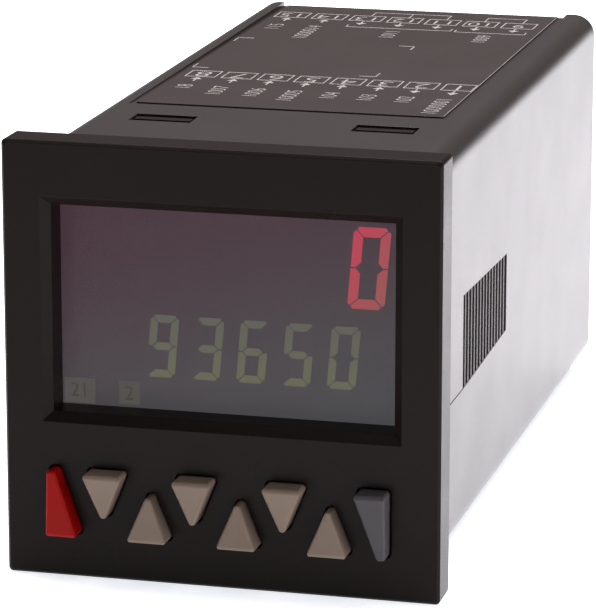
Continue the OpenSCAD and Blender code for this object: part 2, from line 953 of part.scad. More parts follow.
// Clamp of one pole: plate with the screw's hole, channel for the wire, tail through the board
module clamp(pitch) {
  wide = pole_room(pitch) - 2 * fit;
  channel_h = entry_h + 2 * clamp_wall;
  difference() {
    union() {
      box(span(0, wide), [clamp_front, clamp_front + clamp_plate], [clamp_low, clamp_high]);
      along_y([clamp_front, clamp_front + clamp_l])
        translate([0, entry_z])
          square([wide, channel_h], center = true);
      box(span(0, tail_w), [clamp_front, clamp_front + clamp_plate], [clamp_high - fit, tail_out]);
    }
    along_y([clamp_front + clamp_plate, clamp_front + clamp_l + over])
      translate([0, entry_z])
        square([wide - 2 * clamp_wall, entry_h], center = true);
    translate([0, 0, screw_z])
      bar_y(shank_r(pitch) + fit, [clamp_front - over, clamp_front + clamp_l + over]);
  }
}

// Slotted terminal screw
module terminal_screw(pitch) {
  head_r = screw_r(pitch);
  head_rear = block_rear - screw_sink;
  translate([0, 0, screw_z])
    difference() {
      union() {
        bar_y(head_r, [head_rear - screw_head_l, head_rear]);
        bar_y(shank_r(pitch), [clamp_front - shank_past, head_rear - screw_head_l]);
      }
      along_y([head_rear - screw_slot_d, head_rear + over])
        square([2 * head_r + over, screw_slot_w], center = true);
    }
}

module at_poles(poles, pitch) {
  for (i = [0:poles - 1])
    translate([pole_x(i, poles, pitch), 0, 0])
      children();
}

module upper_terminal_block() {
  color("seagreen")
    terminal_block(upper_poles, upper_pitch);
}

module lower_terminal_block() {
  color("seagreen")
    mirror([0, 0, 1])
      terminal_block(lower_poles, lower_pitch);
}

module upper_terminal_clamps() {
  color("goldenrod")
    at_poles(upper_poles, upper_pitch)
      clamp(upper_pitch);
}

module lower_terminal_clamps() {
  color("goldenrod")
    mirror([0, 0, 1])
      at_poles(lower_poles, lower_pitch)
        clamp(lower_pitch);
}

module upper_terminal_screws() {
  color("silver")
    at_poles(upper_poles, upper_pitch)
      terminal_screw(upper_pitch);
}

module lower_terminal_screws() {
  color("silver")
    mirror([0, 0, 1])
      at_poles(lower_poles, lower_pitch)
        terminal_screw(lower_pitch);
}

front_bezel();
display_window();
lcd_panel();
count_digit();
preset_digits();
status_tiles();
backlight();
display_board();
key_switches();
for (i = [0:key_count - 1]) {
  key_cap(i);
  key_plunger(i);
}
housing();
top_label();
power_board();
logic_board();
board_headers();
header_pins();
relay(0);  // relay_1
relay(1);  // relay_2
supply_capacitor();
transformer_core();
transformer_bobbin();
regulator();
microcontroller();
input_couplers();
clock_crystal();
upper_terminal_block();
lower_terminal_block();
upper_terminal_clamps();
lower_terminal_clamps();
upper_terminal_screws();
lower_terminal_screws();
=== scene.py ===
"""Looks of a panel-mount electronic counter, modelled around its packed solids."""

import json
import math

import bmesh
import bpy
from bpy.props import FloatProperty, FloatVectorProperty, IntProperty, PointerProperty
from mathutils import Matrix, Vector


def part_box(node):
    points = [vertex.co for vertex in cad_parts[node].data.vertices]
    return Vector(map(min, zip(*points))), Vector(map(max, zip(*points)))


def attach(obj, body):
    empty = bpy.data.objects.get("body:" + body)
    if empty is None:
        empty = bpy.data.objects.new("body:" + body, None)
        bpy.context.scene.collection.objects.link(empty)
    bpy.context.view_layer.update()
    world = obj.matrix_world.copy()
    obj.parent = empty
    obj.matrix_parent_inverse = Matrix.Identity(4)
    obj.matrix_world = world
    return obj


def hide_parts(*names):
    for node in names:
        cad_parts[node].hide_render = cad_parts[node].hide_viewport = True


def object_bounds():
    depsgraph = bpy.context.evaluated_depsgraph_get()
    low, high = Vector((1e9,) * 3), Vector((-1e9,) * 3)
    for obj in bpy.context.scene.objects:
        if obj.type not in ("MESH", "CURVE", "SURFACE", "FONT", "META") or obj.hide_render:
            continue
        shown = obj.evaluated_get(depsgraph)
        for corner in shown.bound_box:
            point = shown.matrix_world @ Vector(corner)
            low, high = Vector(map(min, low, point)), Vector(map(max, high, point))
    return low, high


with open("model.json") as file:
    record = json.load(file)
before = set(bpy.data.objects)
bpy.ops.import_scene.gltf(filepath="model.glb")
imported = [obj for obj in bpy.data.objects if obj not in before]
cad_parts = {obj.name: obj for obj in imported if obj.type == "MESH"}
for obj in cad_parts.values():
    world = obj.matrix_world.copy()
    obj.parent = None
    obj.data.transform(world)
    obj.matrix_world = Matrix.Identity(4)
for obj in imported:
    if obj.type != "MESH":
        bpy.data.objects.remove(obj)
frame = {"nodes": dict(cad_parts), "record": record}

bl_info = {
    "name": "Panel Counter",
    "version": (1, 0, 0),
    "blender": (4, 5, 0),
    "location": "View3D > Sidebar > Counter",
    "description": "Dresses the solids of a panel-mount counter: case, display, keys, label and terminals",
    "category": "Object",
}

MM = 0.001
CASE = "case"
CAD_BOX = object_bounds()

# Each key with its plunger, its slot, and if its wide end is up
DIGIT_KEYS = [(f"digit_key_{i}", f"digit_plunger_{i}", "sand_key", i % 2 == 1) for i in range(1, 7)]
KEYS = [("reset_key", "reset_plunger", "red_key", False), *DIGIT_KEYS,
        ("mode_key", "mode_plunger", "grey_key", True)]

# Small plain numbers in front of the label's boxes, and how many arrows of each row point into their boxes
FRONT_MARKS = ("18", "1007", "1006", "10005", "104", "103", "102", "1000001")
REAR_MARKS = ("115", "1000014")
FRONT_INWARD = 6
REAR_INWARD = 2

# Number and ends of each bracket in millimetres from the label's left edge, and each output's outer boxes
BRACKETS = (("1011", 11.0, 24.5), ("1009", 24.95, 33.95))
OUTPUTS = ((2, 4), (5, 6))

# Name of each light, its place, aim and size in metres and its power in watts
LIGHTS = (
    ("key_light", (0.12, 0.26, 0.6), (0.11, 0.24, 0), (0.55, 0.4), 11.0),
    ("left_light", (-0.36, 0.14, 0.34), (-0.08, -0.02, -0.02), (0.3, 0.2), 1.5),
    ("right_light", (0.45, -0.06, 0.1), (0, -0.005, -0.017), (0.3, 0.3), 0.95),
    ("front_light", (0, -0.12, 0.6), (0, -0.005, -0.017), (0.3, 0.15), 0.35),
    ("rear_light", (-0.1, 0.9, 0.28), (0, 0.05, 0), (0.9, 0.4), 0.13),
)

# How near a point lies to a plane to count as on it, when faces are picked and when a key is cut
NEAR = 0.01 * MM
CUT_REACH = 0.0005 * MM

# How far a front or rear face may turn: the least share of its normal along the depth
FACING = 0.8

# Steps of the rounding at a key's wide end
END_CUTS = 10

# How much the label's strokes are thinned, for their size
TEXT_THIN = 0.012

# Length of an arrow's three-sided head and rounding of the side line's ends, each for its radius
HEAD_LENGTH = 1.5
LINE_END = 0.6

# Height of the camera's picture in millimetres
PICTURE_H = 36


# Settings

def length(name, description, millimetres):
    """A size in the sidebar, given in millimetres."""
    return FloatProperty(name=name, description=description, default=millimetres * MM, unit="LENGTH",
                         precision=5)


def number(name, description, value, subtype="NONE"):
    """A plain number or an angle in the sidebar."""
    return FloatProperty(name=name, description=description, default=value, subtype=subtype)


def colour(name, description, rgb):
    """A colour in the sidebar."""
    return FloatVectorProperty(name=name, description=description, default=rgb, subtype="COLOR", size=3,
                               min=0, max=1)


class CaseSettings(bpy.types.PropertyGroup):
    """Bezel and housing"""
    bezel_edge: length("Bezel edges", "Rounding of the bezel's front, window and key openings", 0.14)
    housing_edge: length("Housing edges", "Rounding of the housing's latch slots and rear edge", 0.12)
    fine_edge: length("Fine edges", "Rounding of the upper slots, the label's and the vents' fields", 0.03)
    vent_front: length("Vents from", "A depth between the housing's front and its vents", 10.0)
    vent_rear: length("Vents to", "A depth behind the vents", 50.0)
    vent_half: length("Vents' reach", "A height that the vents don't reach, above or below the middle", 10.0)
    rib_matt: number("Rib matt", "How much rougher the ribs between the vents are", 0.2)
    line_z: length("Line height", "Height of the fine raised line on the right side", -5.8)
    line_r: length("Line", "Radius of that line", 0.07)
    line_y: length("Line length", "How far behind the panel that line reaches", 15.8)
    bezel_colour: colour("Bezel", "Plastic of the bezel", (0.0088, 0.0058, 0.0052))
    housing_colour: colour("Housing", "Plastic of the housing", (0.0144, 0.011, 0.0097))
    grain: length("Grain", "Size of the moulded grain", 0.16)


class DisplaySettings(bpy.types.PropertyGroup):
    """Window, glass and figures"""
    window_tint: colour("Window", "Tint of the clear window", (0.95, 0.94, 0.95))
    glass_colour: colour("Glass", "Dark ground of the display", (0.071, 0.07, 0.0745))
    glow_colour: colour("Stray light", "Warm light in the ground's upper left corner", (0.063, 0.033, 0.044))
    count_colour: colour("Count", "Lit red figure", (0.5, 0.061, 0.101))
    preset_colour: colour("Preset", "Pale lower figures", (0.128, 0.126, 0.104))
    tile_colour: colour("Tiles", "Small marked tiles", (0.092, 0.087, 0.081))
    numeral_colour: colour("Tile numerals", "Darker numerals on the tiles", (0.064, 0.06, 0.058))
    numeral_h: length("Numerals", "Height of the dark numerals on the tiles", 2.2)


class KeySettings(bpy.types.PropertyGroup):
    """Keys"""
    width: length("Width", "Width of a small key before its corners are rounded", 4.55)
    height: length("Height", "Height of a small key before its corners are rounded", 5.6)
    end_width: length("End width", "Width of an end key at its wide end", 3.5)
    end_tip: length("End tip", "Width of an end key at its narrow end", 0.95)
    corner: length("Corners", "Radius of a key's corners", 0.4)
    edge: length("Edges", "Rounding of a key's front edges", 0.3)
    end_round: length("End rounding", "Rounding of the front edge at a key's wide end", 0.6)
    proud: length("Proud", "How far the wide end stands out of the bezel", 2.5)
    tip_proud: length("Tip proud", "How far the tip stands out of the bezel", 1.95)
    collar: length("Collar", "How far the collar behind the bezel reaches past a key", 0.45)
    collar_t: length("Collar thickness", "Thickness of that collar", 0.9)
    wall: length("Wall", "Thickness of the bezel that the keys pass through", 1.85)
    stem_r: length("Stem", "Radius of the stem that reaches to the switch", 1.0)
    spare: length("Spare length", "How much longer a key's block is before its front is cut", 1.0)
    grain: length("Grain", "Size of the moulded grain", 0.1)
    reset_colour: colour("Reset", "Red key", (0.26, 0.003, 0.0015))
    digit_colour: colour("Digits", "Sand-coloured keys", (0.197, 0.151, 0.117))
    mode_colour: colour("Mode", "Grey key", (0.065, 0.061, 0.065))


class LabelSettings(bpy.types.PropertyGroup):
    """Printed label on top"""
    film_colour: colour("Film", "Ground of the label", (0.018, 0.0126, 0.0112))
    ink_colour: colour("Ink", "Print of the label", (0.235, 0.22, 0.21))
    film_edge: length("Film edge", "Rounding of the film's front edge", 0.045)
    grain: length("Grain", "Size of the film's grain", 0.08)
    line: length("Line", "Width of the printed lines that run along the housing", 0.14)
    cross_line: length("Cross line", "Width of the printed lines that run across the housing", 0.26)
    ink_t: length("Ink thickness", "How far the print stands on the film", 0.02)
    slope: number("Slope", "How the label falls towards the rear", math.atan(0.35 / 69.7), "ANGLE")
    lean: number("Lean", "How far the rows come forward for their length", 0.034)
    box_h: length("Box", "Height of a number box", 4.0)
    front_row: length("Front row", "Distance from the label's front to the first row of boxes", 16.65)
    rear_row: length("Rear row", "Distance from the label's front to the second row of boxes", 59.2)
    front_start: length("Front start", "Distance from the label's left edge to the first row", 0.82)
    rear_start: length("Rear start", "Distance from the label's left edge to the second row", 0.36)
    front_box_w: length("Front box", "Width of a box in the first row", 3.7)
    front_pitch: length("Front pitch", "Spacing of the boxes in the first row", 4.4)
    rear_box_w: length("Rear box", "Width of a box in the second row", 4.19)
    rear_pitch: length("Rear pitch", "Spacing of the boxes in the second row", 4.933)
    front_count: IntProperty(name="Front count", description="Number of boxes in the first row", default=8)
    rear_count: IntProperty(name="Rear count", description="Number of boxes in the second row", default=7)
    front_numeral_h: length("Front numerals", "Size of the numbers in the first row", 4.2)
    rear_numeral_h: length("Rear numerals", "Size of the numbers in the second row", 3.5)
    mark_h: length("Marks", "Size of the small numbers beside the rows", 2.7)
    mark_gap: length("Mark gap", "Distance from a box to the end of its small number", 4.9)
    arrow_r: length("Arrows", "Radius of the arrows' heads", 0.78)
    bracket_y: length("Brackets", "Distance from the label's front to the brackets", 54.85)


class PartSettings(bpy.types.PropertyGroup):
    """Terminals and the parts inside"""
    terminal_edge: length("Terminal edges", "Rounding of the terminal blocks' edges", 0.12)
    terminal_colour: colour("Terminals", "Plastic of the terminal blocks", (0.02, 0.16, 0.07))
    screw_colour: colour("Screws", "Plated terminal screws", (0.62, 0.62, 0.63))
    clamp_colour: colour("Clamps", "Plated terminal clamps", (0.62, 0.52, 0.33))
    board_colour: colour("Boards", "Lacquer of the circuit boards", (0.012, 0.11, 0.035))


class StageSettings(bpy.types.PropertyGroup):
    """Floor, lights and camera"""
    azimuth: number("Azimuth", "Camera's turn round the counter", math.radians(14.403), "ANGLE")
    elevation: number("Elevation", "Camera's height angle", math.radians(14.16), "ANGLE")
    distance: length("Distance", "Distance from the camera to its aim", 442.758)
    aim: FloatVectorProperty(name="Aim", description="Point that the camera looks at",
                             default=(-0.000303, 0.030, -0.000986), subtype="XYZ", unit="LENGTH")
    lens: number("Lens", "Focal length for a picture 36 mm high", 229.38)
    light_colour: colour("Lights", "Colour of the lights", (1, 0.95, 0.985))
    room_colour: colour("Room", "Dim light of the room", (0.08, 0.067, 0.064))
    floor_size: length("Floor size", "Length of the floor's sides", 6000.0)
    floor_grain: length("Floor grain", "Size of the floor's grain", 0.4)
    floor_colour: colour("Floor", "Pale floor", (0.82, 0.82, 0.83))
    glow_colour: colour("Glow", "Colour of the light that comes up through the floor", (0.78, 0.82, 0.86))
    floor_glow: number("Floor glow", "Light that comes up through the floor", 0.88)


def settings(group):
    """One of the groups above, from the scene."""
    return getattr(bpy.context.scene, "counter_" + group)


# Shared effects

def group_tree(name, inputs, outputs):
    """An empty shader node group with its sockets; returns it with its input and output nodes."""
    tree = bpy.data.node_groups.new(name, "ShaderNodeTree")
    for socket, value in inputs.items():
        made = tree.interface.new_socket(socket, in_out="INPUT", socket_type="NodeSocketFloat")
        made.default_value = value
    for socket in outputs:
        tree.interface.new_socket(socket, in_out="OUTPUT", socket_type="NodeSocketFloat")
    return tree, tree.nodes.new("NodeGroupInput"), tree.nodes.new("NodeGroupOutput")


def put(node, **values):
    """Sets inputs of a node; an underscore stands for a space in an input's name."""
    for socket, value in values.items():
        node.inputs[socket.replace("_", " ")].default_value = value


def calculate(tree, operation, *terms):
    """A math node; each term is a number or the output of another node."""
    node = tree.nodes.new("ShaderNodeMath")
    node.operation = operation
    for socket, term in zip(node.inputs, terms):
        if isinstance(term, bpy.types.NodeSocket):
            tree.links.new(term, socket)
        else:
            socket.default_value = term
    return node.outputs["Value"]


def noise(tree, scale, detail):
    """Noise on the piece's own coordinates, with its scale from another node."""
    place = tree.nodes.new("ShaderNodeTexCoord")
    texture = tree.nodes.new("ShaderNodeTexNoise")
    put(texture, Detail=detail)
    tree.links.new(place.outputs["Object"], texture.inputs["Vector"])
    tree.links.new(scale, texture.inputs["Scale"])
    return texture.outputs["Fac"]


def own_place(tree):
    """The piece's own coordinates, apart."""
    place = tree.nodes.new("ShaderNodeTexCoord")
    parts = tree.nodes.new("ShaderNodeSeparateXYZ")
    tree.links.new(place.outputs["Object"], parts.inputs["Vector"])
    return parts.outputs


def moulded_grain():
    """Fine spark-eroded grain: a height for the bump and a tone that shifts the colour slightly."""
    name = "Moulded Grain"
    if name in bpy.data.node_groups:
        return bpy.data.node_groups[name]
    tree, given, result = group_tree(name, {"Scale": 6000.0, "Cloud Scale": 60.0}, ["Height", "Tone"])
    for output, scale, detail in (("Height", "Scale", 3.0), ("Tone", "Cloud Scale", 4.0)):
        tree.links.new(noise(tree, given.outputs[scale], detail), result.inputs[output])
    return tree


def handling_haze():
    """Slow change of roughness, as left by hands and by the mould."""
    name = "Handling Haze"
    if name in bpy.data.node_groups:
        return bpy.data.node_groups[name]
    tree, given, result = group_tree(name, {"Low": 0.3, "High": 0.4, "Scale": 90.0}, ["Roughness"])
    ramp = tree.nodes.new("ShaderNodeMapRange")
    put(ramp, From_Min=0.3, From_Max=0.7)
    tree.links.new(noise(tree, given.outputs["Scale"], 5.0), ramp.inputs["Value"])
    tree.links.new(given.outputs["Low"], ramp.inputs["To Min"])
    tree.links.new(given.outputs["High"], ramp.inputs["To Max"])
    tree.links.new(ramp.outputs["Result"], result.inputs["Roughness"])
    return tree


def gradient():
    """A value that rises smoothly from 0 to 1 across a piece, along its width, its height or both."""
    name = "Gradient"
    if name in bpy.data.node_groups:
        return bpy.data.node_groups[name]
    tree, given, result = group_tree(name, {"Across": 0.0, "Up": 0.0, "Shift": 0.0}, ["Value"])
    place = own_place(tree)
    value = given.outputs["Shift"]
    for axis, weight in (("X", "Across"), ("Z", "Up")):
        value = calculate(tree, "MULTIPLY_ADD", place[axis], given.outputs[weight], value)
    ramp = tree.nodes.new("ShaderNodeMapRange")
    ramp.interpolation_type = "SMOOTHSTEP"
    tree.links.new(value, ramp.inputs["Value"])
    tree.links.new(ramp.outputs["Result"], result.inputs["Value"])
    return tree


def within():
    """1 inside a box that lies alike to the left and right of the middle, and 0 outside it."""
    name = "Within"
    if name in bpy.data.node_groups:
        return bpy.data.node_groups[name]
    limits = ("Half Width", "Front", "Rear", "Foot", "Top")
    tree, given, result = group_tree(name, {limit: 0.0 for limit in limits}, ["Value"])
    place = own_place(tree)
    beside = calculate(tree, "ABSOLUTE", place["X"])
    value = calculate(tree, "LESS_THAN", beside, given.outputs["Half Width"])
    for axis, low, high in (("Y", "Front", "Rear"), ("Z", "Foot", "Top")):
        above = calculate(tree, "GREATER_THAN", place[axis], given.outputs[low])
        below = calculate(tree, "LESS_THAN", place[axis], given.outputs[high])
        value = calculate(tree, "MULTIPLY", value, calculate(tree, "MULTIPLY", above, below))
    tree.links.new(value, result.inputs["Value"])
    return tree


# Materials

def blank_material(name):
    """A new material, with its node tree and its shader."""
    material = bpy.data.materials.new(name)
    material.use_nodes = True
    tree = material.node_tree
    return material, tree, tree.nodes["Principled BSDF"]


def effect(tree, group, **values):
    """Places a shared effect in a material."""
    node = tree.nodes.new("ShaderNodeGroup")
    node.node_tree = group
    put(node, **values)
    return node


def two_tone(tree, factor, dark, light):
    """Mixes two colours by a value that changes over the surface."""
    mix = tree.nodes.new("ShaderNodeMix")
    mix.data_type = "RGBA"
    mix.inputs["A"].default_value = (*dark, 1)
    mix.inputs["B"].default_value = (*light, 1)
    tree.links.new(factor, mix.inputs["Factor"])
    return mix.outputs["Result"]


def shade(rgb, factor):
    """A colour made darker or lighter."""
    return tuple(min(c * factor, 1) for c in rgb)


def moulded_plastic(name, rgb, rough=(0.32, 0.42), grain=0.16 * MM, depth=0.12, spread=0.12, gloss=0.5):
    """Moulded plastic with a fine grain, a faint cloudiness and a slow change of gloss."""
    material, tree, shader = blank_material(name)
    texture = effect(tree, moulded_grain(), Scale=1 / grain, Cloud_Scale=70.0)
    haze = effect(tree, handling_haze(), Low=rough[0], High=rough[1])
    base = two_tone(tree, texture.outputs["Tone"], shade(rgb, 1 - spread), shade(rgb, 1 + spread))
    put(shader, Specular_IOR_Level=gloss)
    bump = tree.nodes.new("ShaderNodeBump")
    put(bump, Strength=depth, Distance=grain)
    tree.links.new(texture.outputs["Height"], bump.inputs["Height"])
    tree.links.new(base, shader.inputs["Base Color"])
    tree.links.new(haze.outputs["Roughness"], shader.inputs["Roughness"])
    tree.links.new(bump.outputs["Normal"], shader.inputs["Normal"])
    return material


def plated_metal(name, rgb):
    """Plated metal with a brushed tone."""
    material, tree, shader = blank_material(name)
    texture = effect(tree, moulded_grain(), Scale=9000.0, Cloud_Scale=900.0)
    haze = effect(tree, handling_haze(), Low=0.22, High=0.36, Scale=700.0)
    base = two_tone(tree, texture.outputs["Tone"], shade(rgb, 0.85), shade(rgb, 1.1))
    put(shader, Metallic=1.0)
    tree.links.new(base, shader.inputs["Base Color"])
    tree.links.new(haze.outputs["Roughness"], shader.inputs["Roughness"])
    return material


def clear_window(name, tint):
    """Polished tinted plastic that shows the display behind it."""
    material, tree, shader = blank_material(name)
    haze = effect(tree, handling_haze(), Low=0.02, High=0.06, Scale=120.0)
    put(shader, Base_Color=(*tint, 1), Transmission_Weight=1.0, IOR=1.05)
    tree.links.new(haze.outputs["Roughness"], shader.inputs["Roughness"])
    return material


def sloped(tree, low, high, across, up):
    """Places the gradient so that it is half way up in the middle of a box."""
    centre = (low + high) / 2
    wide = across / (high.x - low.x)
    tall = up / (high.z - low.z)
    node = effect(tree, gradient(), Across=wide, Up=tall, Shift=0.5 - wide * centre.x - tall * centre.z)
    return node.outputs["Value"]


def dull_light(tree, shader, base, rough, glow):
    """Makes a surface dull and lit from within by a colour that changes over it."""
    put(shader, Base_Color=(*base, 1), Roughness=rough, Specular_IOR_Level=0.05, Emission_Strength=1.0)
    tree.links.new(glow, shader.inputs["Emission Color"])


def display_ground(name, ground, stray, low, high):
    """Dark display glass, with warm stray light from its upper left corner."""
    material, tree, shader = blank_material(name)
    base = two_tone(tree, sloped(tree, low, high, across=0.35, up=-0.8), stray, ground)
    grain = effect(tree, moulded_grain(), Scale=5000.0, Cloud_Scale=160.0)
    white = (1, 1, 1)
    speckle = two_tone(tree, grain.outputs["Tone"], shade(white, 0.92), white)
    mixed = tree.nodes.new("ShaderNodeMix")
    mixed.data_type = "RGBA"
    mixed.blend_type = "MULTIPLY"
    mixed.inputs["Factor"].default_value = 1.0
    tree.links.new(base, mixed.inputs["A"])
    tree.links.new(speckle, mixed.inputs["B"])
    dull_light(tree, shader, (0.012, 0.011, 0.012), 0.3, mixed.outputs["Result"])
    return material


def lit_figure(name, rgb, low, high, warm, across=0.0):
    """A lit figure that changes a little towards its foot and across its width."""
    material, tree, shader = blank_material(name)
    foot = tuple(c * w for c, w in zip(rgb, warm))
    glow = two_tone(tree, sloped(tree, low, high, across, up=1 - abs(across)), foot, rgb)
    dull_light(tree, shader, shade(rgb, 0.1), 0.4, glow)
    return material


def printed_ink(name, rgb):
    """Screen-printed ink, a little uneven."""
    material, tree, shader = blank_material(name)
    texture = effect(tree, moulded_grain(), Scale=9000.0, Cloud_Scale=1500.0)
    base = two_tone(tree, texture.outputs["Tone"], shade(rgb, 0.7), shade(rgb, 1.25))
    put(shader, Roughness=0.55)
    tree.links.new(base, shader.inputs["Base Color"])
    return material


def record_colour(slot):
    """Base colour of one of the record's material slots."""
    rows = frame["record"]["materials"]
    return tuple(next(row["base_color"] for row in rows if row["slot"] == slot)[:3])


# Modelling helpers

def deselect():
    """Leaves nothing selected, so that an operator acts on one piece."""
    bpy.ops.object.select_all(action="DESELECT")


def activate(piece):
    """Selects one piece alone."""
    deselect()
    piece.select_set(True)
    bpy.context.view_layer.objects.active = piece


def pick(piece, kind, test):
    """In edit mode, selects the edges or faces that pass a test; at least one has to."""
    bpy.ops.mesh.select_mode(type=kind)
    bpy.ops.mesh.select_all(action="DESELECT")
    mesh = bmesh.from_edit_mesh(piece.data)
    mesh.normal_update()
    items = {"EDGE": mesh.edges, "FACE": mesh.faces}[kind]
    chosen = [item for item in items if test(item)]
    if not chosen:
        raise RuntimeError(f"nothing to shape was found on {piece.name}")
    for item in chosen:
        item.select_set(True)
    bmesh.update_edit_mesh(piece.data)


def select_mesh():
    """In edit mode, selects the whole mesh."""
    bpy.ops.mesh.select_all(action="SELECT")


def settle():
    """Applies the place, turn and scale of the selected piece to its mesh."""
    bpy.ops.object.transform_apply(location=True, rotation=True, scale=True)


def edit(piece):
    """Enters edit mode on one piece."""
    activate(piece)
    bpy.ops.object.mode_set(mode="EDIT")


def done(piece, material, body, angle=math.radians(35)):
    """Leaves edit mode and finishes a piece: smooth shading, material and body."""
    bpy.ops.object.mode_set(mode="OBJECT")
    activate(piece)
    settle()
    bpy.ops.object.shade_smooth_by_angle(angle=angle)
    bpy.ops.object.modifier_add(type="WEIGHTED_NORMAL")
    piece.modifiers[-1].keep_sharp = True
    piece.modifiers[-1].weight = 100
    bpy.ops.object.modifier_apply(modifier=piece.modifiers[-1].name)
    piece.data.materials.clear()
    piece.data.materials.append(material)
    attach(piece, body)


def middle(node):
    """Middle of a solid's box."""
    low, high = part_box(node)
    return (low + high) / 2


def rod(radius, front, rear, x, z, sides):
    """A cylinder that runs from front to rear."""
    deselect()
    bpy.ops.mesh.primitive_cylinder_add(
        vertices=sides, radius=radius, depth=rear - front, rotation=(math.radians(90), 0, 0),
        location=(x, (front + rear) / 2, z))
    return bpy.context.active_object


def joined(pieces, name):
    """Joins pieces into one, in object mode."""
    activate(pieces[0])
    for piece in pieces:
        piece.select_set(True)
    bpy.ops.object.join()
    pieces[0].name = name
    return pieces[0]


def twin(piece, name, shift=Vector((0, 0, 0))):
    """A copy of a piece with its own mesh and without its body and slot, moved by a shift."""
    activate(piece)
    bpy.ops.object.duplicate()
    copy = bpy.context.active_object
    copy.name = name
    for key in [key for key in copy.keys() if key.startswith("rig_")]:
        del copy[key]
    copy.parent = None
    copy.location += shift
    settle()
    return copy


def cut(spot, normal):
    """In edit mode, takes off what lies beyond a plane and closes the cut."""
    bpy.ops.mesh.select_mode(type="VERT")
    select_mesh()
    bpy.ops.mesh.bisect(plane_co=spot, plane_no=normal, use_fill=True, clear_outer=True, threshold=CUT_REACH)


def sharp(edge, angle=math.radians(25)):
    """True for an edge between two faces that meet at an angle."""
    return len(edge.link_faces) == 2 and edge.calc_face_angle() > angle


def soften(node, name, keep, width, segments=3):
    """A copy of a solid whose chosen edges are rounded; the copy is merged before it is shaped."""
    piece = twin(frame["nodes"][node], name)
    edit(piece)
    select_mesh()
    bpy.ops.mesh.remove_doubles(threshold=0.001 * MM)
    bpy.ops.mesh.customdata_custom_splitnormals_clear()
    bpy.ops.mesh.dissolve_limited(angle_limit=math.radians(1))
    pick(piece, "EDGE", lambda e: sharp(e) and keep(e))
    bpy.ops.mesh.bevel(offset=width, segments=segments, affect="EDGES", clamp_overlap=True)
    return piece


def flat_text(name, text, size, spot, turn, thin=0.0, thick=0.0, align="CENTER"):
    """Text made a mesh, placed on a spot and turned; left in object mode."""
    deselect()
    bpy.ops.object.text_add()
    piece = bpy.context.active_object
    piece.name = name
    piece.data.body = text
    piece.data.size = size
    piece.data.align_x = align
    piece.data.align_y = "CENTER"
    piece.data.resolution_u = 3
    piece.data.offset = -thin
    piece.data.extrude = thick / 2
    activate(piece)
    bpy.ops.object.convert(target="MESH")
    piece = bpy.context.active_object
    piece.location = spot
    piece.rotation_euler = turn
    settle()
    return piece


def dress(node, material):
    """Gives a solid that shows as it is its material."""
    for slot in frame["nodes"][node].material_slots:
        slot.material = material


# Operators

class COUNTER_OT_bezel(bpy.types.Operator):
    """Rounds the edges of the bezel's front, window and key openings"""
    bl_idname = "counter.bezel"
    bl_label = "Front Bezel"

    def execute(self, context):
        values = settings("case")
        deepest_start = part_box("front_bezel")[0].y + 1.2 * MM
        deepest_end = -0.2 * MM

        def in_front(edge):
            depth = [v.co.y for v in edge.verts]
            return min(depth) < deepest_start and max(depth) < deepest_end

        piece = soften("front_bezel", "bezel_shell", in_front, values.bezel_edge)
        finish = moulded_plastic("Bezel Plastic", values.bezel_colour, rough=(0.26, 0.32), grain=values.grain,
                                 gloss=0.07)
        done(piece, finish, CASE)
        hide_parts("front_bezel")
        return {"FINISHED"}


class COUNTER_OT_display(bpy.types.Operator):
    """Finishes the window, the dark glass, the lit figures and the marked tiles"""
    bl_idname = "counter.display"
    bl_label = "Display"

    def execute(self, context):
        values = settings("display")
        dress("display_window", clear_window("Window", values.window_tint))
        ground = display_ground(
            "Display Ground", values.glass_colour, values.glow_colour, *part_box("lcd_panel"))
        dress("lcd_panel", ground)
        figures = (
            ("count_digit", "Lit Count", values.count_colour, (0.62, 1.67, 1.0), -0.5),
            ("preset_digits", "Pale Preset", values.preset_colour, (1.12, 1.15, 0.95), 0.0),
            ("status_tiles", "Pale Tile", values.tile_colour, (1.0, 1.0, 0.95), 0.0),
        )
        for node, name, rgb, warm, across in figures:
            dress(node, lit_figure(name, rgb, *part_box(node), warm, across))
        diffuser = moulded_plastic("White Diffuser", record_colour("white_diffuser"), rough=(0.5, 0.6))
        dress("backlight", diffuser)
        self.numerals(values)
        return {"FINISHED"}

    def numerals(self, values):
        """Dark plain numbers on the two tiles."""
        low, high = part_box("status_tiles")
        ink = lit_figure("Tile Numeral", values.numeral_colour, low, high, warm=(0.9, 0.9, 0.9))
        thick = 0.01 * MM
        upright = (math.radians(90), 0, 0)
        from_left, from_right = 1.7 * MM, 1.15 * MM
        places = (("tile_numeral_left", "21", low.x + from_left),
                  ("tile_numeral_right", "2", high.x - from_right))
        for name, text, x in places:
            spot = Vector((x, low.y - thick / 2, (low.z + high.z) / 2))
            piece = flat_text(name, text, values.numeral_h, spot, upright, thick=thick)
            done(piece, ink, CASE)


